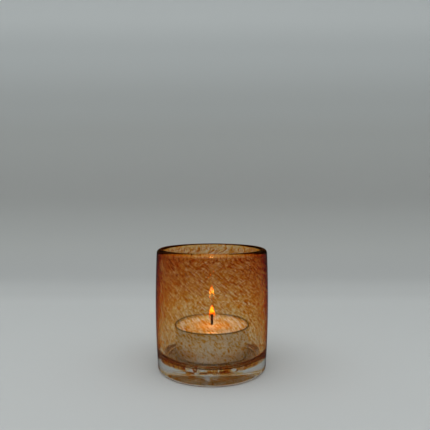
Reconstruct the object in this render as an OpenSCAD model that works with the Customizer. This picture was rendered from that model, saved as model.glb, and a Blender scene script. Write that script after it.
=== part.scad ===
// Blown glass tealight holder: a thick-based tumbler cased in clear glass over a mottled
// amber lining, holding a loose aluminium-cup tealight.
// Units are millimetres. +Z is up and the origin is the centre of the foot.

/* [Tealight cup] */
// Outer diameter of the cup over its rolled rim
cup_d = 38.5; // [36:0.1:58]
// Height of the cup from its flat bottom to the top of the rim
cup_h = 15.8; // [12:0.1:24]
// Thickness of the drawn aluminium sheet
cup_sheet_t = 0.25; // [0.15:0.05:0.5]
// Radius of the rolled rim, which curls outwards from the wall
cup_roll_r = 0.3; // [0.2:0.05:0.8]
// How much narrower the cup is at the bottom, on the radius
cup_draft = 0.55; // [0.1:0.05:1.5]
// Radius of the bottom edge of the cup
cup_edge_r = 1; // [0.6:0.1:2.5]

/* [Candle] */
// Depth from the cup's rim down to the wax
wax_drop = 1.4; // [0.5:0.1:5]
// Radial gap between the wax and the cup
wax_gap = 0.15; // [0.1:0.05:0.5]
// Size of the curve where the wax climbs its edge
wax_meniscus = 0.45; // [0.2:0.05:1]
// Diameter of the braided wick
wick_d = 1.3; // [0.8:0.1:3]
// Length of wick that stands out of the wax
wick_out = 6.6; // [3:0.1:9]
// Radius of the charred tip of the wick
wick_tip_r = 0.45; // [0.2:0.05:0.6]
// Diameter of the sustainer's disc
sustainer_d = 13; // [8:0.5:20]
// Thickness of the sustainer's sheet
sustainer_t = 0.25; // [0.15:0.05:0.5]
// Height of the sustainer's crimped neck above its disc
neck_h = 3.2; // [2:0.1:6]
// Wall of the crimped neck
neck_wall = 0.6; // [0.3:0.05:1]

/* [Glass] */
// Height of the holder
glass_h = 60.8; // [50:0.2:100]
// Wall thickness of the two glass layers together
wall_t = 3.3; // [2.6:0.1:5]
// Gap all round between the cup's rim and the glass at the belly
cup_play = 6.25; // [3:0.05:14]
// Thickness of the glass under the tealight
floor_t = 6.6; // [5:0.1:14]
// Radius where the cavity's wall meets its floor
floor_corner_r = 4.5; // [1.5:0.1:5]
// Height of the widest part of the belly
belly_z = 33; // [20:0.5:40]
// How much narrower the foot is than the belly, on the radius
foot_taper = 1.05; // [0:0.05:2]
// How much narrower the shoulder is than the belly, on the radius
shoulder_taper = 0.5; // [0:0.05:2]
// Radius of the heel, where the wall meets the foot
heel_r = 1.3; // [0.5:0.1:2]
// Radius of the fire-polished lip on its outer side
lip_outer_r = 2.2; // [1.2:0.1:2.4]
// Radius of the fire-polished lip on its inner side
lip_inner_r = 0.9; // [0.8:0.05:1.2]
// Height over which the lip thickens into the wall
lip_blend_h = 9; // [5:0.5:16]
// Diameter of the shallow hollow ground into the foot
hollow_d = 44; // [20:1:46]
// Depth of that hollow at its centre
hollow_depth = 0.45; // [0.2:0.05:0.8]

/* [Amber lining] */
// Thickness of the amber glass on the wall
lining_t = 0.7; // [0.4:0.05:1.2]
// Thickness of the amber glass under the floor
lining_floor_t = 1.4; // [0.8:0.1:2.5]
// Radius of the lining's lower corner
lining_corner_r = 3; // [1.2:0.1:3.5]

/* [Hidden] */
$fn = 96;

// Steps in each quarter round of an outline, and along each tall curve of the wall
arc_steps = 10;
wall_steps = 24;

// The glass is sized round the cup
cavity_r = cup_d / 2 + cup_play;
belly_r = cavity_r + wall_t;
shoulder_z = glass_h - lip_outer_r;
lip_t = lip_outer_r + lip_inner_r;
lip_z = glass_h - lip_inner_r;
corner_z = floor_t + floor_corner_r;
lining_z = floor_t - lining_floor_t;

// The cup stands on the cavity's floor
roll_x = cup_d / 2 - cup_roll_r;
cup_wall_top_r = roll_x - cup_roll_r + cup_sheet_t;
cup_wall_bottom_r = cup_wall_top_r - cup_draft;
cup_top_z = floor_t + cup_h;
roll_z = cup_top_z - cup_roll_r;
cup_edge_z = floor_t + cup_edge_r;
cup_floor_z = floor_t + cup_sheet_t;

// The candle stands on the cup's floor
wax_top_z = cup_top_z - wax_drop;
disc_top_z = cup_floor_z + sustainer_t;
neck_top_z = disc_top_z + neck_h;
wick_r = wick_d / 2;
neck_r = wick_r + neck_wall;
wick_top_z = wax_top_z + wick_out;

// Radius that turns the flat foot into a hollow of the named depth
hollow_r = hollow_d / 2;
hollow_curve_r = (hollow_r * hollow_r + hollow_depth * hollow_depth) / (2 * hollow_depth);

function ramp(t) = t * t * (3 - 2 * t);

// Points of an arc about [x, z] from angle a0 to angle a1
function arc(x, z, r, a0, a1, steps) =
    [for (i = [0 : steps]) let (a = a0 + (a1 - a0) * i / steps) [x + r * cos(a), z + r * sin(a)]];

// Outer radius of the glass at height z, from the heel to the shoulder
function outer_r(z) = z < belly_z
    ? belly_r - foot_taper * pow((belly_z - z) / (belly_z - heel_r), 2)
    : belly_r - shoulder_taper * pow((z - belly_z) / (shoulder_z - belly_z), 2);

// Wall thickness at height z: the lip's own near the mouth, the full wall below it
function wall_at(z) =
    lip_t + (wall_t - lip_t) * ramp(min(1, max(0, (lip_z - z) / lip_blend_h)));

// Radius of the cavity at height z, straight above the shoulder as the lip is
function inner_r(z) = outer_r(min(z, shoulder_z)) - wall_at(z);

// Heights from a to b that the tall curves pass through
function heights(a, b) = [for (i = [0 : wall_steps]) a + (b - a) * i / wall_steps];

// Radius of the cup's outer face at height z
function cup_outer_r(z) = cup_wall_bottom_r + cup_draft * (z - cup_edge_z) / (roll_z - cup_edge_z);

lip_x = outer_r(shoulder_z) - lip_outer_r;
corner_x = inner_r(corner_z) - floor_corner_r;
lining_corner_x = inner_r(corner_z) + lining_t - lining_corner_r;

// Hollow of the foot, from its edge up to the axis
function hollow_points() =
    let (edge_angle = asin(hollow_r / hollow_curve_r))
    [for (i = [0 : arc_steps]) let (a = edge_angle * i / arc_steps)
        [hollow_curve_r * sin(a), hollow_depth - hollow_curve_r * (1 - cos(a))]];

// Outside of the glass, from the heel up to the crown of the lip
function outside_points() = concat(
    arc(outer_r(heel_r) - heel_r, heel_r, heel_r, -90, 0, arc_steps),
    [for (z = heights(heel_r, shoulder_z)) if (z > heel_r) [outer_r(z), z]],
    [for (p = arc(lip_x, shoulder_z, lip_outer_r, 0, 90, arc_steps)) if (p.y > shoulder_z) p]
);

// Inside of the glass, from the crown of the lip down to the axis
function inside_points() = concat(
    [for (p = arc(lip_x, lip_z, lip_inner_r, 90, 180, arc_steps)) if (p.y < glass_h) p],
    [for (z = heights(lip_z, corner_z)) if (z < lip_z) [inner_r(z), z]],
    [for (p = arc(corner_x, corner_z, floor_corner_r, 0, -90, arc_steps)) if (p.y < corner_z) p],
    [[0, floor_t]]
);

// Half section of both glass layers together
module glass_section() {
    polygon(concat(hollow_points(), outside_points(), inside_points()));
}

// Half section of everything inside the lining's outer face
module lining_reach() {
    polygon(concat(
        [[0, lining_z]],
        arc(lining_corner_x, lining_z + lining_corner_r, lining_corner_r, -90, 0, arc_steps),
        [for (z = heights(corner_z, lip_z)) [inner_r(z) + lining_t, z]],
        [[inner_r(lip_z) + lining_t, glass_h + 1], [0, glass_h + 1]]
    ));
}

// Clear outer glass: the thick base, the outside of the wall and the lip
module clear_glass_casing() {
    color("lightcyan", 0.4)
    rotate_extrude()
    difference() {
        glass_section();
        lining_reach();
    }
}

// Mottled amber glass that lines the cavity
module amber_glass_lining() {
    color("peru", 0.7)
    rotate_extrude()
    intersection() {
        glass_section();
        lining_reach();
    }
}

// Drawn aluminium cup with its rolled rim
module tealight_cup() {
    edge_x = cup_wall_bottom_r - cup_edge_r;
    inner_edge_r = cup_edge_r - cup_sheet_t;
    color("silver")
    rotate_extrude()
    union() {
        polygon(concat(
            [[0, floor_t]],
            arc(edge_x, cup_edge_z, cup_edge_r, -90, 0, arc_steps),
            [[cup_wall_top_r, roll_z], [cup_wall_top_r - cup_sheet_t, roll_z]],
            arc(edge_x, cup_edge_z, inner_edge_r, 0, -90, arc_steps),
            [[0, cup_floor_z]]
        ));
        translate([roll_x, roll_z]) circle(r = cup_roll_r);
    }
}

// Wax, with its bore for the wick and its recess for the sustainer
module candle_wax() {
    wax_edge_r = cup_edge_r - cup_sheet_t;
    edge_x = cup_wall_bottom_r - cup_edge_r - wax_gap;
    top_r = cup_outer_r(wax_top_z) - cup_sheet_t - wax_gap;
    color("ivory")
    rotate_extrude()
    polygon(concat(
        [[sustainer_d / 2, cup_floor_z]],
        arc(edge_x, cup_edge_z, wax_edge_r, -90, 0, arc_steps),
        [[top_r, wax_top_z + wax_meniscus]],
        arc(top_r - wax_meniscus, wax_top_z + wax_meniscus, wax_meniscus, 0, -90, arc_steps),
        [[wick_r, wax_top_z], [wick_r, neck_top_z], [neck_r, neck_top_z]],
        [[neck_r, disc_top_z], [sustainer_d / 2, disc_top_z]]
    ));
}

// Braided cotton wick, from the bottom of the sustainer to its charred tip
module wick() {
    color("dimgray")
    rotate_extrude()
    polygon(concat(
        [[0, cup_floor_z], [wick_r, cup_floor_z]],
        arc(wick_r - wick_tip_r, wick_top_z - wick_tip_r, wick_tip_r, 0, 90, arc_steps),
        [[0, wick_top_z]]
    ));
}

// Tin-plated disc with the neck that is crimped round the wick
module wick_sustainer() {
    color("lightsteelblue")
    rotate_extrude()
    polygon([
        [wick_r, cup_floor_z], [sustainer_d / 2, cup_floor_z], [sustainer_d / 2, disc_top_z],
        [neck_r, disc_top_z], [neck_r, neck_top_z], [wick_r, neck_top_z]
    ]);
}

clear_glass_casing();
amber_glass_lining();
tealight_cup();
candle_wax();
wick();
wick_sustainer();
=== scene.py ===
"""Blown amber glass tealight holder with a lit tealight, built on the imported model's frame."""
import logging
import math
from dataclasses import dataclass
from enum import Enum

import bpy
import bmesh
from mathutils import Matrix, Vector


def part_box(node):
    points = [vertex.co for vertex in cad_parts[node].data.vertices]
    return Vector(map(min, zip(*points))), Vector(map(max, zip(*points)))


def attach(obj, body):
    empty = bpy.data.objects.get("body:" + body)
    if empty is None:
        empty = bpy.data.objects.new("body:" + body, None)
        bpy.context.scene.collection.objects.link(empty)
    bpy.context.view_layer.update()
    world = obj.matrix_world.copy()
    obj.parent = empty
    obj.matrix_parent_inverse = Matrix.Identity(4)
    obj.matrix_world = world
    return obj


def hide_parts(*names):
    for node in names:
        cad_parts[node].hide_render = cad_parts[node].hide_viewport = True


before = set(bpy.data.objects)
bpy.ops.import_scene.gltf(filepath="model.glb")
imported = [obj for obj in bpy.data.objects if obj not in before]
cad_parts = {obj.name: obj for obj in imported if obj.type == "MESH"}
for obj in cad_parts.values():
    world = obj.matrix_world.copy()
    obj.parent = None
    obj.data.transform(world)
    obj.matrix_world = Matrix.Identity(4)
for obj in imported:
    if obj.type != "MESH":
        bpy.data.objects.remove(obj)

LOG = logging.getLogger("tealight_holder")
MM = 0.001
AROUND = 176                                  # facets round every turned piece
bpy.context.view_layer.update()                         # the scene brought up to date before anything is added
WELD = 2e-6                                   # metres: points nearer than this are one
Ring = tuple[float, float]                    # a profile point: radius and height, in millimetres
Node = bpy.types.Node
Socket = bpy.types.NodeSocket
Tree = bpy.types.NodeTree


class Body(Enum):
    """The bodies that new pieces ride on."""

    HOLDER = "holder"
    CANDLE = "candle"


class Slot(Enum):
    """Names of the record's material slots, handed to each new piece as it is placed."""

    CLEAR_GLASS = "clear_glass"
    AMBER_GLASS = "amber_glass"
    WAX = "paraffin_wax"
    COTTON = "cotton_wick"


# ---------------------------------------------------------------- small tools

def linear(hex_code: str) -> tuple[float, float, float, float]:
    """Turn an sRGB hex colour into Blender's linear values.

    Args:
        hex_code: six hex digits, with or without a leading #.

    Returns:
        Linear red, green and blue, and an alpha of 1.
    """
    digits = hex_code.lstrip("#")
    parts = [int(digits[i:i + 2], 16) / 255 for i in (0, 2, 4)]
    r, g, b = [c / 12.92 if c <= 0.04045 else ((c + 0.055) / 1.055) ** 2.4 for c in parts]
    return (r, g, b, 1.0)


def add_node(tree: Tree, kind: str, settings: dict[str | int, object] | None = None) -> Node:
    """Add one shader node with its settings and its incoming links.

    Args:
        tree: the node tree that it is added to.
        kind: the node's type, without the leading ShaderNode.
        settings: values by node attribute, input name or input number. A socket, or a node
            for its first output, is linked in. "stops" gives a colour ramp its places and
            hex colours in order, and "ease" its interpolation.

    Returns:
        The new node.
    """
    node = tree.nodes.new("ShaderNode" + kind)
    for key, value in (settings or {}).items():
        if isinstance(value, Node):
            value = value.outputs[0]
        if isinstance(value, Socket):
            tree.links.new(value, node.inputs[key])
        elif key == "stops":
            cells = node.color_ramp.elements
            while len(cells) < len(value):
                cells.new(0.5)
            for cell, (share, _) in zip(cells, value):
                cell.position = share
            for cell, (_, colour) in zip(cells, value):
                cell.color = linear(colour)
        elif key == "ease":
            node.color_ramp.interpolation = value
        elif isinstance(key, str) and hasattr(node, key) and key not in node.inputs:
            setattr(node, key, value)
        else:
            node.inputs[key].default_value = value
    return node


def new_material(name: str) -> tuple[bpy.types.Material, Tree]:
    """Make an empty node material.

    Args:
        name: the material's name.

    Returns:
        The material and its cleared node tree.
    """
    material = bpy.data.materials.new(name)
    material.use_nodes = True
    material.node_tree.nodes.clear()
    return material, material.node_tree


def mirrored_light(tree: Tree, sharp: bool = False) -> Node:
    """Tell a ray thrown back by a polished surface from one that came through it.

    Args:
        tree: the material's node tree.
        sharp: whether only the flawless skin of glass counts, and not metal or wax.

    Returns:
        A node that gives 1 for a mirrored ray and 0 for any other.
    """
    path = add_node(tree, "LightPath").outputs
    kind = "Is Singular Ray" if sharp else "Is Glossy Ray"
    return add_node(tree, "Math", {"operation": "SUBTRACT", "use_clamp": True, 0: path[kind],
                                   1: path["Is Transmission Ray"]})


def deselect_everything() -> None:
    """Leave object mode clean, with nothing selected."""
    if bpy.context.object and bpy.context.object.mode != "OBJECT":
        bpy.ops.object.mode_set(mode="OBJECT")
    bpy.ops.object.select_all(action="DESELECT")


def arc(centre_r: float, centre_z: float, radius: float, start: float, end: float,
        steps: int) -> list[Ring]:
    """Points along a circular arc in a profile.

    Args:
        centre_r: the arc centre's distance from the axis.
        centre_z: the arc centre's height.
        radius: the arc's radius.
        start: first angle, in degrees from outward.
        end: last angle, in degrees.
        steps: how many chords.

    Returns:
        The points, ends included.
    """
    turns = [math.radians(start + (end - start) * i / steps) for i in range(steps + 1)]
    return [(centre_r + radius * math.cos(t), centre_z + radius * math.sin(t)) for t in turns]


def turn_profile(name: str, rings: list[Ring], around: int = AROUND) -> bpy.types.Object:
    """Draw a profile point by point, spin it about the axis and close its poles.

    Args:
        name: the piece's name.
        rings: the profile, from one pole to the other.
        around: how many facets the turn has.

    Returns:
        The turned piece, smooth, with its normals outward.
    """
    deselect_everything()
    bpy.ops.mesh.primitive_plane_add(size=MM, location=(0, 0, 0))
    piece = bpy.context.object
    piece.name = name
    piece.data.name = name
    bpy.ops.object.mode_set(mode="EDIT")
    bpy.ops.mesh.select_mode(type="VERT")
    bpy.ops.mesh.select_all(action="SELECT")
    bpy.ops.mesh.merge(type="CENTER")
    last_r, last_z = rings[0]
    bpy.ops.transform.translate(value=(last_r * MM, 0, last_z * MM))
    for r, z in rings[1:]:
        step = ((r - last_r) * MM, 0, (z - last_z) * MM)
        bpy.ops.mesh.extrude_vertices_move(TRANSFORM_OT_translate={"value": step})
        last_r, last_z = r, z
    bpy.ops.mesh.select_all(action="SELECT")
    bpy.ops.mesh.spin(steps=around, angle=math.tau, center=(0, 0, 0), axis=(0, 0, 1))
    bpy.ops.mesh.select_all(action="SELECT")
    bpy.ops.mesh.remove_doubles(threshold=WELD)
    bpy.ops.mesh.normals_make_consistent(inside=False)
    bpy.ops.object.mode_set(mode="OBJECT")
    bpy.ops.object.shade_smooth()
    deselect_everything()
    return piece


def dress(piece: bpy.types.Object, material: bpy.types.Material) -> None:
    """Give a piece one material."""
    piece.data.materials.clear()
    piece.data.materials.append(material)


def place(piece: bpy.types.Object, body: Body, slot: Slot, *nodes: str) -> None:
    """Put a finished piece on its body, in place of the CAD nodes it stands for.

    Args:
        piece: the finished piece.
        body: the body it rides on.
        slot: not used.
        nodes: the CAD nodes that it replaces.
    """
    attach(piece, body.value)
    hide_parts(*nodes)
    LOG.info("%s: %d faces, rides on %s", piece.name, len(piece.data.polygons), body.value)


# ---------------------------------------------------------------- finishes

@dataclass(frozen=True)
class ClearSodaGlass:
    """Clear soda-lime glass, mouth-blown: hard bright edges and slow waves left by the blowing."""

    name: str = "clear_soda_lime_glass_blown"
    ior: float = 1.5
    wave_mm: float = 9.0                      # distance between the slow waves of the surface
    wave_depth_mm: float = 0.4
    wave_strength: float = 0.06

    def build(self) -> bpy.types.Material:
        """Make the material.

        Returns:
            The material.
        """
        material, tree = new_material(self.name)
        true = add_node(tree, "TexCoord").outputs["Object"]
        waves = add_node(tree, "TexNoise", {"Scale": 1 / (self.wave_mm * MM), "Detail": 1.5,
                                            "Roughness": 0.4, "Vector": true})
        bump = add_node(tree, "Bump", {"Strength": self.wave_strength, "Height": waves,
                                       "Distance": self.wave_depth_mm * MM})
        glass = add_node(tree, "BsdfPrincipled",
                         {"Base Color": linear("#FFFEFC"), "Roughness": 0.0, "IOR": self.ior,
                          "Transmission Weight": 1.0, "Normal": bump})
        add_node(tree, "OutputMaterial", {"Surface": glass})
        return material


@dataclass(frozen=True)
class WallPlace:
    """Where a point of the coloured glass lies."""

    true: Socket                              # its place on the piece
    unwound: Node                             # its place with the twist of the streaks undone
    height: Node                              # its height as a share of the wall
    z: Socket                                 # its height in metres


@dataclass(frozen=True)
class AmberFrit:
    """Amber and opal glass chips rolled onto the bubble and blown out: streaks above, chips below.

    Each face of the layer takes half of its colour, so a look through the wall meets it twice.
    """

    name: str = "amber_and_opal_glass_frit"
    low_z: float = 8.0                        # heights in millimetres where the colour changes
    high_z: float = 57.0
    lip_z: float = 59.2
    lip_under: float = 1.2                    # how far under that height the rolled lip begins
    lip_over: float = 0.5                     # and how far over it the lip is at its own colour
    pad_z: float = 6.7                        # top of the pad under the floor
    pad_fade: float = 1.0                     # height over which it gives way to the wall
    heel_r: float = 24.2                      # where the pad's outer edge begins
    heel_fade: float = 1.2                    # width over which it reaches its full colour
    heel_z: float = 9.2                       # height where that edge begins
    heel_full_z: float = 7.8                  # height under which it has its full colour
    twist_low: float = 0.6                    # degrees of twist per millimetre of height
    twist_high: float = 3.2
    streak_mm: float = 0.40                   # width of one streak
    stretch: float = 4.2                      # length of a streak against its width
    chip_mm: float = 0.85                     # width of the blotches low in the wall
    blotch: float = 1.1                       # length of a blotch against its width
    even_low: float = 0.6                     # how much the blotches differ in colour
    even_high: float = 1.25                   # how much the streaks do
    fleck_mm: float = 0.38                    # width of the pale flecks
    cloud_mm: float = 7.0                     # size of the slow drifts of tone
    thin: float = 0.27                        # colour low in the wall
    thick: float = 1.46                       # colour high in the wall
    rise: float = 1.35                        # how late the colour thickens: 1 is evenly
    lump_mm: float = 14.0                     # length of the lumps of colour under the floor
    lump_most: float = 3.6                    # colour in the richest lump
    spokes: float = 34.0                      # how many of them stand round the floor
    heel_gain: float = 0.5                    # how much richer the pad under the floor is
    heel_ring: float = 3.5                    # extra colour gathered in the pad's outer edge
    low_opal: float = 0.03                    # how cloudy the wall is low down
    pad_opal: float = 0.03                    # how cloudy the pad under the floor is
    least_high: float = 0.22                  # least colour between the streaks, high in the wall
    plain: float = 0.95                       # colour where the chips have melted together
    lip_gain: float = 0.6                     # how much richer the rolled lip is
    slant_most: float = 0.36                  # slant past which a look grows no longer
    slant_power: float = 1.3
    grazing: float = 3.2                      # how much longer a slanting look is in the layer
    silhouette_shade_gain: float = 1.5                   # painted shade: extra colour in the last sliver at the glass's edge, darkening its silhouette

    def wall_place(self, tree: Tree) -> WallPlace:
        """Unwind the twist of the streaks, so that they stand upright for the patterns.

        Args:
            tree: the material's node tree.

        Returns:
            Where a point lies, twisted and unwound.
        """
        true = add_node(tree, "TexCoord").outputs["Object"]
        z = add_node(tree, "SeparateXYZ", {0: true}).outputs["Z"]
        height = add_node(tree, "MapRange", {"Value": z, "From Min": self.low_z * MM,
                                             "From Max": self.high_z * MM})
        wall = self.high_z - self.low_z
        gain = math.radians((self.twist_high - self.twist_low) * wall / 2)
        even = add_node(tree, "Math", {"operation": "MULTIPLY", 0: height,
                                       1: math.radians(self.twist_low * wall)})
        square = add_node(tree, "Math", {"operation": "MULTIPLY", 0: height, 1: height})
        extra = add_node(tree, "Math", {"operation": "MULTIPLY", 0: square, 1: gain})
        turn = add_node(tree, "Math", {"operation": "ADD", 0: even, 1: extra})
        unwound = add_node(tree, "VectorRotate", {"rotation_type": "Z_AXIS", "Vector": true,
                                                  "Angle": turn})
        return WallPlace(true, unwound, height, z)

    def squeeze(self, tree: Tree, wall: WallPlace, width: float, stretch: float) -> Node:
        """Scale a place so that one unit is one chip, longer than it is wide.

        Args:
            tree: the material's node tree.
            wall: where the point lies.
            width: a chip's width in millimetres.
            stretch: its length against its width.

        Returns:
            The scaled place, shaken a little so that no edge is straight.
        """
        fine = 1 / (width * MM)
        scaled = add_node(tree, "Mapping", {"Scale": (fine, fine, fine / stretch),
                                            "Vector": wall.unwound})
        shake = add_node(tree, "TexNoise", {"Scale": 1.1, "Detail": 2.0,
                                            "Vector": scaled}).outputs["Color"]
        centred = add_node(tree, "VectorMath", {"operation": "SUBTRACT", 0: shake,
                                                1: (0.5, 0.5, 0.5)})
        pushed = add_node(tree, "VectorMath", {"operation": "SCALE", "Scale": 1.5, 0: centred})
        return add_node(tree, "VectorMath", {"operation": "ADD", 0: scaled, 1: pushed})

    def chips(self, tree: Tree, wall: WallPlace, width: float, stretch: float,
              spread: float) -> Node:
        """Colour chips with pale gaps between them, some chips rich and some nearly clear.

        Args:
            tree: the material's node tree.
            wall: where the point lies.
            width: a chip's width in millimetres.
            stretch: its length against its width.
            spread: how much the chips differ in colour.

        Returns:
            How much colour there is, about 1 on average.
        """
        layers = []
        for size, gain in ((width * 1.6, 1.25), (width * 0.8, 0.75)):
            cell = add_node(tree, "TexVoronoi",
                            {"Scale": 1.0, "Vector": self.squeeze(tree, wall, size, stretch)})
            core = add_node(tree, "MapRange", {"Value": cell, "From Min": 0.22,
                                               "From Max": 0.52, "To Min": 1.4, "To Max": 0.1})
            luck = add_node(tree, "MapRange",
                            {"Value": cell.outputs["Color"], "From Min": 0.1, "From Max": 0.9,
                             "To Min": 1.4 - spread, "To Max": 1.4 + spread})
            colour = add_node(tree, "Math", {"operation": "MULTIPLY", 0: core, 1: luck})
            layers.append(add_node(tree, "Math", {"operation": "MULTIPLY", 0: colour, 1: gain}))
        return add_node(tree, "Math", {"operation": "ADD", 0: layers[0], 1: layers[1]})

    def speckle(self, tree: Tree, wall: WallPlace, flecks: Node) -> Node:
        """Blotches low in the wall, streaks high in it, and pale flecks through both.

        Args:
            tree: the material's node tree.
            wall: where the point lies.
            flecks: the noise that places the pale flecks.

        Returns:
            How much colour the point has against its neighbours.
        """
        low = self.chips(tree, wall, self.chip_mm, self.blotch, self.even_low)
        high = self.chips(tree, wall, self.streak_mm, self.stretch, self.even_high)
        share = add_node(tree, "MapRange", {"Value": wall.height, "From Min": 0.2,
                                            "From Max": 0.75})
        contrast = add_node(tree, "Mix", {"data_type": "FLOAT", 0: share, 2: low, 3: high})
        gaps = add_node(tree, "MapRange", {"Value": flecks, "From Min": 0.53, "From Max": 0.58,
                                           "To Min": 1.1, "To Max": 0.0})
        chipped = add_node(tree, "Math", {"operation": "MULTIPLY", 0: contrast, 1: gaps})
        least = add_node(tree, "Math", {"operation": "MULTIPLY", 0: share, 1: self.least_high})
        chipped = add_node(tree, "Math", {"operation": "MAXIMUM", 0: chipped, 1: least})
        curl = add_node(tree, "MapRange",
                        {"Value": wall.z, "From Min": (self.lip_z - self.lip_under) * MM,
                         "From Max": self.lip_z * MM, "To Max": 0.3})
        calm = add_node(tree, "MapRange", {"Value": wall.height, "From Min": 0.1,
                                           "From Max": 0.5, "To Min": 0.2, "To Max": 0.0})
        melted = add_node(tree, "Math", {"operation": "MAXIMUM", 0: curl, 1: calm})
        return add_node(tree, "Mix", {"data_type": "FLOAT", 0: melted, 2: chipped,
                                      3: self.plain})

    def depth(self, tree: Tree, wall: WallPlace) -> Node:
        """Thin colour low in the wall and thick colour high in it, with slow drifts of tone.

        Args:
            tree: the material's node tree.
            wall: where the point lies.

        Returns:
            How much colour the wall has there on average.
        """
        clouds = add_node(tree, "TexNoise", {"Scale": 1 / (2 * self.cloud_mm * MM),
                                             "Detail": 1.0, "Vector": wall.unwound})
        drift = add_node(tree, "MapRange", {"Value": clouds, "From Min": 0.3, "From Max": 0.7,
                                            "To Min": 0.85, "To Max": 1.15})
        late = add_node(tree, "Math", {"operation": "POWER", 0: wall.height, 1: self.rise})
        more = add_node(tree, "Math", {"operation": "MULTIPLY", 0: late,
                                       1: self.thick - self.thin})
        mean = add_node(tree, "Math", {"operation": "ADD", 0: more, 1: self.thin})
        return add_node(tree, "Math", {"operation": "MULTIPLY", 0: mean, 1: drift})

    def lumps(self, tree: Tree, wall: WallPlace, flat: Node) -> Node:
        """Lumps of colour under the floor, drawn out towards its middle.

        Args:
            tree: the material's node tree.
            wall: where the point lies.
            flat: its place with no height.

        Returns:
            How rich the lump is at the point.
        """
        outward = add_node(tree, "VectorMath", {"operation": "NORMALIZE", 0: flat})
        spoke = add_node(tree, "VectorMath", {"operation": "SCALE", 0: outward,
                                              "Scale": self.spokes / math.tau})
        drawn = 1 / (self.lump_mm * MM)
        spoke = add_node(tree, "VectorMath", {"operation": "MULTIPLY_ADD", 0: wall.true,
                                              1: (drawn, drawn, drawn), 2: spoke})
        lump = add_node(tree, "TexVoronoi", {"Scale": 1.0, "Vector": spoke}).outputs["Color"]
        return add_node(tree, "MapRange", {"Value": lump, "From Min": 0.35, "From Max": 0.65,
                                           "To Min": 0.0, "To Max": self.lump_most})

    def slant(self, tree: Tree) -> Node:
        """How much longer a look's way through the layer is for its slant, with painted shade added at the
        glass's silhouette.

        Args:
            tree: the material's node tree.

        Returns:
            1 for a look straight through, and more for a slanting one.
        """
        facing = add_node(tree, "LayerWeight", {"Blend": 0.5}).outputs["Facing"]
        held = add_node(tree, "Math", {"operation": "MINIMUM", 0: facing, 1: self.slant_most})
        lean = add_node(tree, "Math", {"operation": "POWER", 0: held, 1: self.slant_power})
        extra = add_node(tree, "Math", {"operation": "MULTIPLY", 0: lean, 1: self.grazing})
        longer = add_node(tree, "Math", {"operation": "ADD", 0: 1.0, 1: extra})
        # painted shade: a narrow band of slant at the silhouette gets extra colour, so the glass's edges come
        # out dark
        silhouette_shade = add_node(tree, "ValToRGB", {0: facing, "stops": [
            (0.27, "#000000"), (0.31, "#FFFFFF"), (0.34, "#FFFFFF"), (0.38, "#000000")]})
        extra = add_node(tree, "Math", {"operation": "MULTIPLY", 0: silhouette_shade, 1: self.silhouette_shade_gain})
        return add_node(tree, "Math", {"operation": "ADD", 0: longer, 1: extra})

    def build(self) -> bpy.types.Material:
        """Make the material.

        Returns:
            The material.
        """
        material, tree = new_material(self.name)
        wall = self.wall_place(tree)
        flecks = add_node(tree, "TexNoise",
                          {"Scale": 0.6, "Detail": 2.0, "Roughness": 0.6,
                           "Vector": self.squeeze(tree, wall, self.fleck_mm, self.stretch)})
        flat = add_node(tree, "VectorMath", {"operation": "MULTIPLY", 0: wall.true,
                                             1: (1, 1, 0)})
        out = add_node(tree, "VectorMath", {"operation": "LENGTH", 0: flat}).outputs["Value"]
        side = add_node(tree, "MapRange",
                        {"Value": out, "From Min": self.heel_r * MM,
                         "From Max": (self.heel_r + self.heel_fade) * MM})
        low = add_node(tree, "MapRange", {"Value": wall.z, "From Min": self.heel_z * MM,
                                          "From Max": self.heel_full_z * MM})
        lump = self.lumps(tree, wall, flat)
        under = add_node(tree, "Math", {"operation": "MULTIPLY", 0: lump, 1: self.heel_gain})
        above = add_node(tree, "MapRange", {"Value": wall.z, "From Min": self.pad_z * MM,
                                            "From Max": (self.pad_z + self.pad_fade) * MM})
        pad = add_node(tree, "Mix", {"data_type": "FLOAT", 0: above, 2: under, 3: 1.0})
        heel = add_node(tree, "Math", {"operation": "MULTIPLY", 0: side, 1: low})
        heel = add_node(tree, "Math", {"operation": "MULTIPLY", 0: heel, 1: self.heel_ring})
        heel = add_node(tree, "Math", {"operation": "MULTIPLY", 0: heel, 1: lump})
        pad = add_node(tree, "Math", {"operation": "ADD", 0: pad, 1: heel})
        lip = add_node(tree, "MapRange",
                       {"Value": wall.z, "From Min": (self.lip_z - self.lip_under) * MM,
                        "From Max": (self.lip_z + self.lip_over) * MM, "To Min": 1.0,
                        "To Max": self.lip_gain})
        ends = add_node(tree, "Math", {"operation": "MULTIPLY", 0: lip, 1: pad})
        dense = add_node(tree, "Math", {"operation": "MULTIPLY", 0: self.depth(tree, wall),
                                        1: self.speckle(tree, wall, flecks)})
        dense = add_node(tree, "Math", {"operation": "MULTIPLY", 0: dense, 1: ends})
        dense = add_node(tree, "Math", {"operation": "MULTIPLY", 0: dense,
                                        1: self.slant(tree)})
        dense = add_node(tree, "Math", {"operation": "MULTIPLY", 0: dense, 1: 1 / 12})
        tint = add_node(tree, "ValToRGB", {0: dense, "stops": [
            (0.0, "#FFFFFF"), (0.0417, "#F8E9D4"), (0.0833, "#F4D27A"), (0.1667, "#ECAC1A"),
            (0.3333, "#DC7000"), (0.6667, "#B03000"), (1.0, "#7C0C00")]})
        clear = add_node(tree, "BsdfTransparent", {0: tint})
        milky = add_node(tree, "MapRange", {"Value": flecks, "From Min": 0.52,
                                            "From Max": 0.68, "To Min": 0.002, "To Max": 0.04})
        low_haze = add_node(tree, "MapRange", {"Value": wall.height, "From Min": 0.1,
                                               "From Max": 0.6, "To Min": self.low_opal,
                                               "To Max": 0.0})
        milky = add_node(tree, "Math", {"operation": "ADD", 0: milky, 1: low_haze})
        inner = add_node(tree, "Math", {"operation": "SUBTRACT", 0: 1.0, 1: side})
        cloudy = add_node(tree, "Math", {"operation": "MULTIPLY", 0: low, 1: self.pad_opal})
        cloudy = add_node(tree, "Math", {"operation": "MULTIPLY", 0: inner, 1: cloudy})
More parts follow.
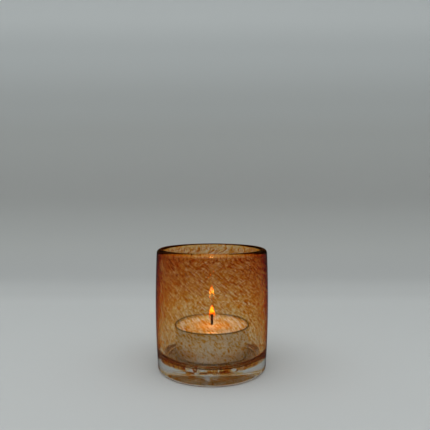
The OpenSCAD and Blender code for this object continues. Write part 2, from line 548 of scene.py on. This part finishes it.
        milky = add_node(tree, "Math", {"operation": "ADD", 0: milky, 1: cloudy})
        opal = add_node(tree, "BsdfTranslucent", {0: linear("#F0C896")})
        face = add_node(tree, "BsdfDiffuse", {0: linear("#E8B880")})
        opal = add_node(tree, "MixShader", {0: 0.5, 1: opal, 2: face})
        surface = add_node(tree, "MixShader", {0: milky, 1: clear, 2: opal})
        add_node(tree, "OutputMaterial", {"Surface": surface})
        return material


@dataclass(frozen=True)
class DrawnAluminium:
    """Thin aluminium foil, deep drawn: a soft sheen with fine upright draw lines, and painted shade on the
    rolled rim.
    """

    name: str = "drawn_aluminium_sheet"
    line_mm: float = 0.35                     # spacing of the draw lines
    line_length: float = 14.0                 # their length against their spacing
    dent_mm: float = 5.0                      # size of the soft dents from handling
    relief_mm: float = 0.12
    rim_shade_z: float = 22.0                      # height where the painted shade on the rolled edge is full
    rim_shade_fade: float = 0.5

    def build(self) -> bpy.types.Material:
        """Make the material.

        Returns:
            The material.
        """
        material, tree = new_material(self.name)
        true = add_node(tree, "TexCoord").outputs["Object"]
        fine = 1 / (2 * self.line_mm * MM)
        upright = add_node(tree, "Mapping", {"Scale": (fine, fine, fine / self.line_length),
                                             "Vector": true})
        lines = add_node(tree, "TexNoise", {"Scale": 1.0, "Detail": 2.0, "Roughness": 0.6,
                                            "Vector": upright})
        dents = add_node(tree, "TexNoise", {"Scale": 1 / (self.dent_mm * MM), "Detail": 1.0,
                                            "Vector": true})
        faint = add_node(tree, "Math", {"operation": "MULTIPLY", 0: lines, 1: 0.35})
        relief = add_node(tree, "Math", {"operation": "ADD", 0: faint, 1: dents})
        bump = add_node(tree, "Bump", {"Strength": 0.35, "Distance": self.relief_mm * MM,
                                       "Height": relief})
        rough = add_node(tree, "MapRange", {"Value": lines, "To Min": 0.26, "To Max": 0.44})
        tone = add_node(tree, "ValToRGB", {0: dents, "stops": [(0.3, "#D6D5D3"),
                                                               (0.7, "#E6E5E3")]})
        z = add_node(tree, "SeparateXYZ", {0: true}).outputs["Z"]
        # painted shade: above this height the rolled edge is coloured a darker grey, standing in for shade on
        # the rim
        rolled = add_node(tree, "MapRange",
                          {"Value": z, "From Min": (self.rim_shade_z - self.rim_shade_fade) * MM,
                           "From Max": self.rim_shade_z * MM})
        tone = add_node(tree, "Mix", {"data_type": "RGBA", 0: rolled, 6: tone,
                                      7: linear("#8A847A")}).outputs[2]
        metal = add_node(tree, "BsdfPrincipled", {"Metallic": 1.0, "Base Color": tone,
                                                  "Roughness": rough, "Normal": bump})
        add_node(tree, "OutputMaterial", {"Surface": metal})
        return material


@dataclass(frozen=True)
class TinnedSteel:
    """Electrolytic tinplate: bright grey, with a faint rolled grain."""

    name: str = "tinplate_rolled"
    grain_mm: float = 0.2                     # width of the grain
    grain_length: float = 12.0                # its length against its width

    def build(self) -> bpy.types.Material:
        """Make the material.

        Returns:
            The material.
        """
        material, tree = new_material(self.name)
        true = add_node(tree, "TexCoord").outputs["Object"]
        fine = 1 / (2 * self.grain_mm * MM)
        rolled = add_node(tree, "Mapping", {"Scale": (fine / self.grain_length, fine, fine),
                                            "Vector": true})
        grain = add_node(tree, "TexNoise", {"Scale": 1.0, "Detail": 2.0, "Vector": rolled})
        rough = add_node(tree, "MapRange", {"Value": grain, "To Min": 0.22, "To Max": 0.40})
        tone = add_node(tree, "ValToRGB", {0: grain, "stops": [(0.3, "#C4C2BE"),
                                                               (0.7, "#DAD8D4")]})
        metal = add_node(tree, "BsdfPrincipled", {"Metallic": 1.0, "Base Color": tone,
                                                  "Roughness": rough})
        add_node(tree, "OutputMaterial", {"Surface": metal})
        return material


@dataclass(frozen=True)
class ParaffinWax:
    """Pressed paraffin, part melted: a wet clear pool round the wick, a dull frosted shoulder."""

    name: str = "paraffin_wax_pressed_and_melted"
    pool_r: float = 11.0                      # radius of the melted pool, in millimetres
    pool_edge: float = 2.5                    # width of its soft edge
    wander_mm: float = 6.0                    # length of the waves in that edge
    wander_by: float = 2.4                    # how far they reach
    bead_mm: float = 1.1                      # size of the pressed wax beads
    bead_relief: float = 0.15
    glow_depth: float = 0.002                 # metres that light goes into the wax

    def build(self) -> bpy.types.Material:
        """Make the material.

        Returns:
            The material.
        """
        material, tree = new_material(self.name)
        true = add_node(tree, "TexCoord").outputs["Object"]
        split = add_node(tree, "SeparateXYZ", {0: true}).outputs
        flat = add_node(tree, "CombineXYZ", {"X": split["X"], "Y": split["Y"]})
        out = add_node(tree, "VectorMath", {"operation": "LENGTH", 0: flat}).outputs["Value"]
        wander = add_node(tree, "TexNoise", {"Scale": 1 / (self.wander_mm * MM),
                                             "Detail": 2.0, "Vector": true})
        strayed = add_node(tree, "Math", {"operation": "MULTIPLY", 0: wander,
                                          1: self.wander_by * MM})
        reach = add_node(tree, "Math", {"operation": "ADD", 0: out, 1: strayed})
        set_wax = add_node(tree, "MapRange",
                           {"Value": reach, "From Min": self.pool_r * MM,
                            "From Max": (self.pool_r + self.pool_edge) * MM})
        tone = add_node(tree, "ValToRGB", {0: set_wax, "stops": [(0.0, "#EFD9AE"),
                                                                 (1.0, "#F6EEDD")]})
        beads = add_node(tree, "TexVoronoi", {"Scale": 1 / (self.bead_mm * MM),
                                              "Vector": true})
        rough = add_node(tree, "MapRange", {"Value": set_wax, "To Min": 0.07, "To Max": 0.5})
        relief = add_node(tree, "Math", {"operation": "MULTIPLY", 0: beads, 1: set_wax})
        bump = add_node(tree, "Bump", {"Strength": 0.25, "Distance": self.bead_relief * MM,
                                       "Height": relief})
        wax = add_node(tree, "BsdfPrincipled",
                       {"IOR": 1.44, "Subsurface Weight": 0.35,
                        "Subsurface Scale": self.glow_depth,
                        "Subsurface Radius": (1.0, 0.62, 0.35), "Base Color": tone,
                        "Roughness": rough, "Normal": bump})
        add_node(tree, "OutputMaterial", {"Surface": wax})
        return material


@dataclass(frozen=True)
class CharredCotton:
    """Braided cotton, burnt: black and dull above, brown towards the wax, an ember at the tip."""

    name: str = "cotton_wick_braided_charred"
    wax_z: float = 21.0                       # heights of the wax, the char and the tip
    char_z: float = 21.9
    tip_z: float = 27.6
    char_fade: float = 0.18                   # share of that length over which it chars
    soot_mm: float = 0.5                      # size of the flakes of soot

    def build(self) -> bpy.types.Material:
        """Make the material.

        Returns:
            The material.
        """
        material, tree = new_material(self.name)
        true = add_node(tree, "TexCoord").outputs["Object"]
        z = add_node(tree, "SeparateXYZ", {0: true}).outputs["Z"]
        up = add_node(tree, "MapRange", {"Value": z, "From Min": self.wax_z * MM,
                                         "From Max": self.tip_z * MM})
        soot = add_node(tree, "TexNoise", {"Scale": 1 / (self.soot_mm * MM), "Detail": 3.0,
                                           "Vector": true})
        uneven = add_node(tree, "Math", {"operation": "MULTIPLY", 0: soot, 1: 0.12})
        level = add_node(tree, "Math", {"operation": "ADD", 0: up, 1: uneven})
        edge = (self.char_z - self.wax_z) / (self.tip_z - self.wax_z)
        tone = add_node(tree, "ValToRGB", {0: level, "stops": [
            (0.0, "#8A5A2B"), (edge, "#5B3316"), (edge + self.char_fade, "#0A0605"),
            (0.95, "#060404"), (1.0, "#180804")]})
        ember = add_node(tree, "MapRange", {"Value": level, "From Min": 1.02,
                                            "From Max": 1.1, "To Min": 0.0, "To Max": 1.5})
        char = add_node(tree, "BsdfPrincipled",
                        {"Roughness": 0.95, "Specular IOR Level": 0.0, "Base Color": tone,
                         "Emission Color": linear("#FF5A12"), "Emission Strength": ember})
        add_node(tree, "OutputMaterial", {"Surface": char})
        return material


@dataclass(frozen=True)
class CandleFlame:
    """Burning wax vapour: a clear foot round the wick, a yellow heart and an orange skin.

    A flame is far brighter than white, so its mirror images in the glass are given the strength
    that its direct look can't show.
    """

    foot_z: float
    tip_z: float
    name: str = "candle_flame"
    strength: float = 4.6
    mirrored_tone: str = "#FFB04A"
    near_mm: float = 16.0                     # what mirrors it from nearer than this is the wax
    far_mm: float = 20.0                      # and from beyond this, the wall of the glass
    near_gain: float = 12.0                   # how much stronger the wax's mirror image is
    far_gain: float = 30.0                    # and how much more than that the wall's is

    def build(self) -> bpy.types.Material:
        """Make the material.

        Returns:
            The material.
        """
        material, tree = new_material(self.name)
        true = add_node(tree, "TexCoord").outputs["Object"]
        z = add_node(tree, "SeparateXYZ", {0: true}).outputs["Z"]
        up = add_node(tree, "MapRange", {"Value": z, "From Min": self.foot_z * MM,
                                         "From Max": self.tip_z * MM})
        tone = add_node(tree, "ValToRGB", {0: up, "stops": [
            (0.0, "#C2500F"), (0.45, "#FF7414"), (0.66, "#FF901C"), (0.85, "#FF8A22"),
            (1.0, "#E85C12")]})
        skin = add_node(tree, "LayerWeight", {"Blend": 0.5}).outputs["Facing"]
        body = add_node(tree, "MapRange", {"Value": up, "From Min": 0.48, "From Max": 0.66,
                                           "To Min": 0.0, "To Max": 1.0})
        soft = add_node(tree, "Math", {"operation": "POWER", 0: skin, 1: 1.6})
        edge = add_node(tree, "Math", {"operation": "MULTIPLY", 0: soft, 1: 0.85})
        thin = add_node(tree, "Math", {"operation": "POWER", 0: skin, 1: 2.5})
        heart = add_node(tree, "Math", {"operation": "SUBTRACT", 0: 1.0, 1: thin})
        fade = add_node(tree, "MapRange", {"Value": up, "From Min": 0.08, "From Max": 0.35,
                                           "To Min": 0.0, "To Max": 1.0})
        rim = add_node(tree, "Math", {"operation": "MULTIPLY", 0: edge, 1: fade})
        solid = add_node(tree, "Mix", {"data_type": "FLOAT", 0: body, 2: rim, 3: heart})
        mirrored = mirrored_light(tree)
        reach = add_node(tree, "LightPath").outputs["Ray Length"]
        across = add_node(tree, "MapRange", {"Value": reach, "From Min": self.near_mm * MM,
                                             "From Max": self.far_mm * MM})
        near = add_node(tree, "Math", {"operation": "SUBTRACT", "use_clamp": True,
                                       0: mirrored, 1: across})
        solid = add_node(tree, "Math", {"operation": "MAXIMUM", 0: solid, 1: near})
        tone = add_node(tree, "Mix", {"data_type": "RGBA", 0: mirrored, 6: tone,
                                      7: linear(self.mirrored_tone)}).outputs[2]
        power = add_node(tree, "Math", {"operation": "MULTIPLY", 0: body, 1: 0.65})
        power = add_node(tree, "Math", {"operation": "ADD", 0: power, 1: 0.35})
        power = add_node(tree, "Math", {"operation": "MULTIPLY", 0: power, 1: self.strength})
        gain = add_node(tree, "Math", {"operation": "MULTIPLY", 0: across, 1: self.far_gain})
        gain = add_node(tree, "Math", {"operation": "ADD", 0: gain, 1: self.near_gain})
        gain = add_node(tree, "Math", {"operation": "MULTIPLY", 0: mirrored, 1: gain})
        dazzle = add_node(tree, "Math", {"operation": "ADD", 0: gain, 1: 1.0})
        power = add_node(tree, "Math", {"operation": "MULTIPLY", 0: power, 1: dazzle})
        light = add_node(tree, "Emission", {"Color": tone, "Strength": power})
        gap = add_node(tree, "BsdfTransparent")
        surface = add_node(tree, "MixShader", {0: solid, 1: gap, 2: light})
        add_node(tree, "OutputMaterial", {"Surface": surface})
        return material


@dataclass(frozen=True)
class PaintedSweep:
    """Matt white card, sprayed and almost featureless, with painted light and shade graded by height.

    The glass's sharp skin mirrors it as the dark, unlit side of a room would look.
    """

    name: str = "matt_card_sweep"
    painted_light_top_mm: float = 300.0                     # height over which the card's painted light and shade change
    mirrored_tone: str = "#3A3A3A"

    def build(self) -> bpy.types.Material:
        """Make the material.

        Returns:
            The material.
        """
        material, tree = new_material(self.name)
        true = add_node(tree, "TexCoord").outputs["Object"]
        z = add_node(tree, "SeparateXYZ", {0: true}).outputs["Z"]
        up = add_node(tree, "MapRange", {"Value": z, "From Min": 0.0,
                                         "From Max": self.painted_light_top_mm * MM})
        # painted light and shade: the card's colour is graded by height, lighter on the floor, darkest at the
        # foot of the cove and lighter up the wall
        tone = add_node(tree, "ValToRGB", {0: up, "ease": "EASE", "stops": [
            (0.0, "#C8CBCA"), (0.02, "#C0C3C2"), (0.06, "#B6B9B8"), (0.15, "#BABDBB"),
            (0.33, "#BEC0BE"), (0.5, "#C2C5C3"), (0.6, "#C6CAC9"), (0.78, "#D4D9D9"),
            (0.9, "#E0E5E5"), (1.0, "#DDE2E2")]})
        tone = add_node(tree, "Mix", {"data_type": "RGBA", 0: mirrored_light(tree, sharp=True),
                                      6: tone, 7: linear(self.mirrored_tone)}).outputs[2]
        card = add_node(tree, "BsdfPrincipled", {"Roughness": 0.9, "Specular IOR Level": 0.2,
                                                 "Base Color": tone})
        add_node(tree, "OutputMaterial", {"Surface": card})
        return material


# ---------------------------------------------------------------- the glass

@dataclass
class BlownGlass:
    """The thick clear tumbler and the coloured layer that is cased inside its wall.

    Sizes are in millimetres, from the foot's plane up.
    """

    height: float = 60.8
    belly_r: float = 28.8
    belly_z: float = 33.0
    heel_r: float = 1.3
    foot_taper: float = 1.05
    shoulder_taper: float = 0.5
    shoulder_z: float = 58.6
    wall: float = 3.3
    lip_x: float = 26.1
    lip_wall: float = 3.1
    lip_outer_r: float = 2.2
    lip_inner_r: float = 0.9
    lip_blend: float = 9.0
    floor_z: float = 6.6                      # set again in build, from the cup that stands on it
    corner_r: float = 4.5
    hollow_r: float = 22.0
    hollow_depth: float = 0.45
    skin_in: float = 0.12                     # clear skin between the colour and the cavity
    skin_out: float = 0.64                    # how far into the wall the colour reaches
    colour_floor_z: float = 5.2
    colour_corner_r: float = 3.0
    ground_r: float = 24.5                    # a ring on the flat part of the foot
    curl_start: float = 3.0                   # how far under the shoulder the colour bends out
    curl_end: float = 1.2                     # and where it has reached the lip's outer face
    curl_out: float = 1.0                     # its distance into the wall there
    lip_proud: float = 0.03                   # the colour lies this far over the lip's own skin
    lip_clear: float = 0.8                    # how far down the lip's inside it stays so

    def outer(self, z: float) -> float:
        """Find the outside radius at a height.

        Args:
            z: the height.

        Returns:
            The radius of the outer face there.
        """
        if z < self.belly_z:
            share = (self.belly_z - z) / (self.belly_z - self.heel_r)
            return self.belly_r - self.foot_taper * share ** 2
        share = (z - self.belly_z) / (self.shoulder_z - self.belly_z)
        return self.belly_r - self.shoulder_taper * share ** 2

    def inner(self, z: float) -> float:
        """Find the cavity's radius at a height.

        Args:
            z: the height.

        Returns:
            The radius of the inner face there.
        """
        lip_z = self.height - self.lip_inner_r
        t = min(1.0, max(0.0, (lip_z - z) / self.lip_blend))
        wall = self.lip_wall + (self.wall - self.lip_wall) * t * t * (3 - 2 * t)
        return self.outer(min(z, self.shoulder_z)) - wall

    def levels(self, low: float, high: float, steps: int) -> list[float]:
        """Evenly spaced heights from one to another."""
        return [low + (high - low) * i / steps for i in range(steps + 1)]

    def glass_profile(self) -> list[Ring]:
        """Draw the whole skin: hollow foot, heel, barrel, lip, cavity wall and floor.

        Returns:
            The profile, from pole to pole.
        """
        foot_r = self.outer(self.heel_r)
        rings = [(0.0, self.hollow_depth)]
        rings += [(self.hollow_r * s, self.hollow_depth * (1 - s ** 2))
                  for s in (0.2, 0.4, 0.55, 0.7, 0.8, 0.9, 1.0)]
        rings += [(self.ground_r, 0.0)]
        rings += arc(foot_r - self.heel_r, self.heel_r, self.heel_r, -90, 0, 10)
        rings += [(self.outer(z), z) for z in self.levels(self.heel_r, self.shoulder_z, 44)[1:]]
        rings += arc(self.lip_x, self.shoulder_z, self.lip_outer_r, 8, 90, 12)
        low_lip = self.height - self.lip_inner_r
        rings += arc(self.lip_x, low_lip, self.lip_inner_r, 98, 180, 8)
        corner_z = self.floor_z + self.corner_r
        rings += [(self.inner(z), z) for z in self.levels(low_lip, corner_z, 44)[1:]]
        corner_x = self.inner(corner_z) - self.corner_r
        rings += arc(corner_x, corner_z, self.corner_r, -8, -90, 10)
        rings += [(corner_x * s, self.floor_z) for s in (0.75, 0.5, 0.25, 0.0)]
        return rings

    def colour_profile(self) -> list[Ring]:
        """Draw the coloured layer's skin, closed on the axis and curled over the lip.

        Returns:
            The profile, from pole to pole.
        """
        low_lip = self.height - self.lip_inner_r
        corner_z = self.floor_z + self.corner_r
        bend_z = self.colour_floor_z + self.colour_corner_r
        side = self.inner(corner_z) + self.skin_out
        bend_x = side - self.colour_corner_r
        rings = [(bend_x * s, self.colour_floor_z) for s in (0.0, 0.25, 0.5, 0.75)]
        rings += arc(bend_x, bend_z, self.colour_corner_r, -90, 0, 10)
        wall_top = self.shoulder_z - self.curl_start
        rings += [(self.inner(z) + self.skin_out, z)
                  for z in self.levels(corner_z, wall_top, 36)]
        rings += [(self.inner(wall_top) + self.curl_out, self.shoulder_z - self.curl_end)]
        rings += arc(self.lip_x, self.shoulder_z, self.lip_outer_r + self.lip_proud, 20, 90, 9)
        rings += arc(self.lip_x, low_lip, self.lip_inner_r + self.lip_proud, 98, 180, 6)
        rings += [(self.inner(z) + self.skin_in, z)
                  for z in self.levels(low_lip - self.lip_clear, corner_z, 36)]
        corner_x = self.inner(corner_z) - self.corner_r
        rings += arc(corner_x, corner_z, self.corner_r + self.skin_in, -8, -90, 10)
        rings += [(corner_x * s, self.floor_z - self.skin_in) for s in (0.75, 0.5, 0.25, 0.0)]
        return rings

    def build(self) -> None:
        """Blow the glass, its floor where the cup stands, and case its colour."""
        self.floor_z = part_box("tealight_cup")[0].z / MM
        body = turn_profile("blown_glass_body", self.glass_profile())
        dress(body, ClearSodaGlass().build())
        colour = turn_profile("amber_frit_layer", self.colour_profile())
        dress(colour, AmberFrit().build())
        place(body, Body.HOLDER, Slot.CLEAR_GLASS, "clear_glass_casing")
        place(colour, Body.HOLDER, Slot.AMBER_GLASS, "amber_glass_lining")


# ---------------------------------------------------------------- the tealight

@dataclass
class Tealight:
    """The drawn cup, the wax with its pool, and the sustainer that holds the wick up."""

    wax_r_low: float = 17.6                   # the wax's radius at its bottom
    bottom_edge_r: float = 0.6
    top_edge_r: float = 0.35
    side_top: float = 0.5                     # how far under the wax's top its side ends
    pool_dip: float = 0.22                    # how far the pool's middle lies below its edge
    pool_r: float = 12.5
    pool_slope: float = 3.0                   # width over which the pool deepens
    wick_hole_r: float = 0.66
    climb: float = 0.45                       # how far the wax climbs the wick
    climb_r: float = 2.4                      # where it begins to climb
    climb_fade: float = 0.55                  # how fast the climb dies away from the wick

    def wax_profile(self) -> list[Ring]:
        """Draw the wax: pressed sides, a soft edge, a dished pool and its climb at the wick.

        Returns:
            The profile, from pole to pole.
        """
        low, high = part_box("candle_wax")
        bottom, top = low.z / MM, high.z / MM
        reach = high.x / MM
        flat = top - self.climb
        edge_r, crown = self.bottom_edge_r, reach - self.top_edge_r
        rings = [(0.0, bottom), (self.wax_r_low * 0.5, bottom)]
        rings += arc(self.wax_r_low - edge_r, bottom + edge_r, edge_r, -90, 0, 5)
        rings += [(reach, flat - self.side_top)]
        rings += arc(crown, flat - self.top_edge_r, self.top_edge_r, 15, 90, 5)
        for i in range(1, 13):
            r = crown - (crown - self.climb_r) * i / 12
            edge = min(1.0, max(0.0, (self.pool_r - r) / self.pool_slope))
            rings.append((r, flat - self.pool_dip * edge * edge * (3 - 2 * edge)))
        for i in range(1, 9):
            r = self.climb_r + (self.wick_hole_r - self.climb_r) * i / 8
            lift = math.exp(-(r - self.wick_hole_r) / self.climb_fade)
            rings.append((r, flat - self.pool_dip + (self.climb + self.pool_dip) * lift))
        rings += [(0.0, top)]
        return rings

    def build(self) -> None:
        """Pour the wax and dress the metal parts."""
        wax = turn_profile("wax_with_melt_pool", self.wax_profile())
        dress(wax, ParaffinWax().build())
        for node, finish in (("tealight_cup", DrawnAluminium()),
                             ("wick_sustainer", TinnedSteel())):
            material = finish.build()
            cad = bpy.data.objects[node]
            for slot in cad.material_slots:
                slot.material = material
            LOG.info("%s: CAD node kept, dressed as %s", node, finish.name)
        place(wax, Body.CANDLE, Slot.WAX, "candle_wax")


@dataclass
class BurningWick:
    """A three-strand wick, charred, with its flame and the light that the flame gives.

    The flame is burning gas, which is no part of the CAD model: it stands on the wick's tip.
    """

    strands: int = 3
    strand_r: float = 0.43
    strand_off: float = 0.31                  # how far a strand lies from the wick's middle
    strand_facets: int = 12
    pitch: float = 3.0                        # height of one full twist
    twist_facets: int = 16                    # facets in one full twist
    flame_foot_z: float = 22.4
    flame_tip_z: float = 31.5
    flame_r: float = 1.42
    flame_rings: int = 36
    flame_facets: int = 40
    lamp_z: float = 28.0
    lamp_r: float = 1.6
    lamp_watts: float = 0.0031
    lamp_colour: str = "#FFB066"

    def strand(self, index: int) -> bpy.types.Object:
        """Twist one strand of the wick.

        Args:
            index: which strand it is.

        Returns:
            The strand, as its own object, not yet joined.
        """
        low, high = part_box("wick")
        bottom, top = low.z / MM + self.strand_r, high.z / MM - self.strand_r
        deselect_everything()
        bpy.ops.mesh.primitive_circle_add(
            vertices=self.strand_facets, radius=self.strand_r * MM, fill_type="NOTHING",
            location=(0, 0, 0), rotation=(math.pi / 2, 0, 0))
        strand = bpy.context.object
        strand.name = f"wick_strand_{index}"
        bpy.ops.object.transform_apply(location=True, rotation=True, scale=True)
        bpy.ops.object.mode_set(mode="EDIT")
        bpy.ops.mesh.select_all(action="SELECT")
        bpy.ops.transform.translate(value=(self.strand_off * MM, 0, bottom * MM))
        bpy.ops.transform.rotate(value=math.tau * index / self.strands, orient_axis="Z",
                                 center_override=(0, 0, 0))
        bpy.ops.object.mode_set(mode="OBJECT")
        turns = (top - bottom) / self.pitch
        screw = strand.modifiers.new("twist", "SCREW")
        screw.axis = "Z"
        screw.angle = math.tau * turns
        screw.screw_offset = (top - bottom) * MM
        screw.steps = screw.render_steps = int(self.twist_facets * turns)
        bpy.ops.object.modifier_apply(modifier="twist")
        return strand

    def wick(self) -> bpy.types.Object:
        """Lay the strands together and close their ends.

        Returns:
            The wick.
        """
        strands = [self.strand(i) for i in range(self.strands)]
        deselect_everything()
        for strand in strands:
            strand.select_set(True)
        bpy.context.view_layer.objects.active = strands[0]
        bpy.ops.object.join()
        wick = strands[0]
        wick.name = "braided_wick"
        wick.data.name = "braided_wick"
        bpy.ops.object.mode_set(mode="EDIT")
        bpy.ops.mesh.select_mode(type="EDGE")
        bpy.ops.mesh.select_all(action="DESELECT")
        bpy.ops.mesh.select_non_manifold()
        bpy.ops.mesh.fill_holes(sides=0)
        bpy.ops.mesh.select_all(action="SELECT")
        bpy.ops.mesh.normals_make_consistent(inside=False)
        bpy.ops.object.mode_set(mode="OBJECT")
        bpy.ops.object.shade_smooth_by_angle(angle=math.radians(50))
        deselect_everything()
        return wick

    def flame_profile(self) -> list[Ring]:
        """Draw a drop with a round foot, fullest a third of the way up, and a fine tip.

        Returns:
            The profile, from pole to pole.
        """
        rings: list[Ring] = []
        rise = self.flame_tip_z - self.flame_foot_z
        for i in range(self.flame_rings + 1):
            t = i / self.flame_rings
            full = math.sin(math.pi * t ** 0.95) ** 0.9 * (1 - 0.35 * t) * 1.24
            closed = i in (0, self.flame_rings)
            rings.append((0.0 if closed else self.flame_r * full, self.flame_foot_z + rise * t))
        return rings

    def build(self) -> None:
        """Make the wick, light it and hang its lamp."""
        wick = self.wick()
        dress(wick, CharredCotton().build())
        flame = turn_profile("flame", self.flame_profile(), self.flame_facets)
        dress(flame, CandleFlame(self.flame_foot_z, self.flame_tip_z).build())
        flame.visible_diffuse = False
        flame.visible_shadow = False
        bpy.ops.object.light_add(type="POINT", location=(0, 0, self.lamp_z * MM))
        lamp = bpy.context.object
        lamp.name = "flame_light"
        lamp.data.color = linear(self.lamp_colour)[:3]
        lamp.data.energy = self.lamp_watts
        lamp.data.shadow_soft_size = self.lamp_r * MM
        lamp.visible_camera = False
        lamp.visible_glossy = False
        lamp.visible_transmission = False
        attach(lamp, Body.CANDLE.value)
        place(wick, Body.CANDLE, Slot.COTTON, "wick")
        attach(flame, Body.CANDLE.value)
        LOG.info("flame: %d faces, rides on candle", len(flame.data.polygons))


# ---------------------------------------------------------------- the studio

@dataclass
class Studio:
    """A pale sweep, a soft sky, one broad lamp overhead and the camera.

    Places and sizes are in millimetres.
    """

    floor_drop: float = 0.1                   # keeps the sweep off the glass foot
    front: float = 900.0                      # how far the sweep reaches towards the camera
    cove_start: float = 120.0                 # where it starts to bend up behind the object
    cove_r: float = 90.0
    cove_steps: int = 16
    wall_top: float = 900.0
    half_width: float = 1100.0
    sky_strength: float = 0.75
    lamp_at: tuple[float, float, float] = (-120.0, -150.0, 1100.0)
    lamp_aim: tuple[float, float, float] = (0.0, 0.0, 30.0)
    lamp_size: tuple[float, float] = (1500.0, 1200.0)
    lamp_watts: float = 6.0
    lamp_colour: str = "#FBFDFF"
    camera_at: tuple[float, float, float] = (1.6, -221.4, 84.0)
    camera_dip: float = 1.57                  # degrees that it looks down
    lens: float = 36.0
    sensor: float = 36.0
    near_clip: float = 1.0

    def sweep(self) -> None:
        """Bend the card: a flat floor, a cove and an upright back."""
        deselect_everything()
        span = self.front + self.cove_start
        middle = (self.cove_start - self.front) / 2
        bpy.ops.mesh.primitive_plane_add(size=1.0, location=(0, 0, 0))
        card = bpy.context.object
        card.name = "studio_sweep"
        bpy.ops.object.mode_set(mode="EDIT")
        bpy.ops.mesh.select_all(action="SELECT")
        bpy.ops.transform.resize(value=(2 * self.half_width * MM, span * MM, 1))
        bpy.ops.transform.translate(value=(0, middle * MM, -self.floor_drop * MM))
        bpy.ops.mesh.select_mode(type="EDGE")
        bpy.ops.mesh.select_all(action="DESELECT")
        mesh = bmesh.from_edit_mesh(card.data)
        for edge in mesh.edges:
            edge.select_set(all(v.co.y > (self.cove_start - 1) * MM for v in edge.verts))
        bmesh.update_edit_mesh(card.data)
        bend = arc(self.cove_start, self.cove_r, self.cove_r, -90, 0, self.cove_steps)
        for (y0, z0), (y1, z1) in zip(bend, bend[1:]):
            bpy.ops.mesh.extrude_region_move(
                TRANSFORM_OT_translate={"value": (0, (y1 - y0) * MM, (z1 - z0) * MM)})
        rise = (self.wall_top - self.cove_r) * MM
        bpy.ops.mesh.extrude_region_move(TRANSFORM_OT_translate={"value": (0, 0, rise)})
        bpy.ops.mesh.select_all(action="SELECT")
        bpy.ops.mesh.normals_make_consistent(inside=False)
        bpy.ops.object.mode_set(mode="OBJECT")
        bpy.ops.object.shade_smooth()
        deselect_everything()
        dress(card, PaintedSweep().build())

    def sky(self) -> None:
        """Hang the sky: dark at the horizon as a light, and pale there where it is looked at."""
        sky = bpy.data.worlds.new("soft_sky")
        sky.use_nodes = True
        bpy.context.scene.world = sky
        tree = sky.node_tree
        towards = add_node(tree, "TexCoord").outputs["Generated"]
        up = add_node(tree, "SeparateXYZ", {0: towards}).outputs["Z"]
        shade = add_node(tree, "ValToRGB", {0: up, "stops": [
            (0.0, "#4C4D4D"), (0.15, "#5A5B5B"), (0.45, "#C8CCCC"), (0.8, "#FFFFFF")]})
        path = add_node(tree, "LightPath").outputs
        looked_at = add_node(tree, "Math", {"operation": "MAXIMUM", 0: path["Is Camera Ray"],
                                            1: path["Is Transmission Ray"]})
        haze = add_node(tree, "ValToRGB", {0: up, "stops": [
            (0.0, "#C2C5C4"), (0.3, "#CDD1D1"), (0.8, "#FFFFFF")]})
        shade = add_node(tree, "Mix", {"data_type": "RGBA", 0: looked_at, 6: shade,
                                       7: haze}).outputs[2]
        glow = tree.nodes["Background"]
        tree.links.new(shade, glow.inputs["Color"])
        glow.inputs["Strength"].default_value = self.sky_strength

    def softbox(self) -> None:
        """Hang the broad lamp overhead."""
        at, aim = Vector(self.lamp_at) * MM, Vector(self.lamp_aim) * MM
        bpy.ops.object.light_add(type="AREA", location=at)
        lamp = bpy.context.object
        lamp.name = "overhead_softbox"
        lamp.data.shape = "RECTANGLE"
        lamp.data.size, lamp.data.size_y = (side * MM for side in self.lamp_size)
        lamp.data.energy = self.lamp_watts
        lamp.data.color = linear(self.lamp_colour)[:3]
        lamp.rotation_euler = (aim - at).to_track_quat("-Z", "Y").to_euler()

    def camera(self) -> None:
        """Set up the camera at the object's usual viewing angle."""
        bpy.ops.object.camera_add(location=Vector(self.camera_at) * MM,
                                  rotation=(math.radians(90 - self.camera_dip), 0, 0))
        camera = bpy.context.object
        camera.name = "camera"
        camera.data.sensor_width = self.sensor
        camera.data.lens = self.lens
        camera.data.clip_start = self.near_clip * MM
        bpy.context.scene.camera = camera

    def build(self) -> None:
        """Set the studio and the paths that light may take through the glass."""
        self.sweep()
        self.sky()
        self.softbox()
        self.camera()
        scene = bpy.context.scene
        scene.view_settings.view_transform = "Standard"
        scene.cycles.max_bounces = 24
        scene.cycles.transmission_bounces = 20
        scene.cycles.transparent_max_bounces = 32
        scene.cycles.glossy_bounces = 10
        scene.cycles.diffuse_bounces = 4
        scene.cycles.use_denoising = True
        LOG.info("studio: sweep, sky, softbox and camera set")


def main() -> None:
    """Build the holder, the tealight and the studio, in that order."""
    logging.basicConfig(level=logging.INFO, format="%(name)s: %(message)s")
    BlownGlass().build()
    Tealight().build()
    BurningWick().build()
    Studio().build()


if __name__ == "__main__":
    main()
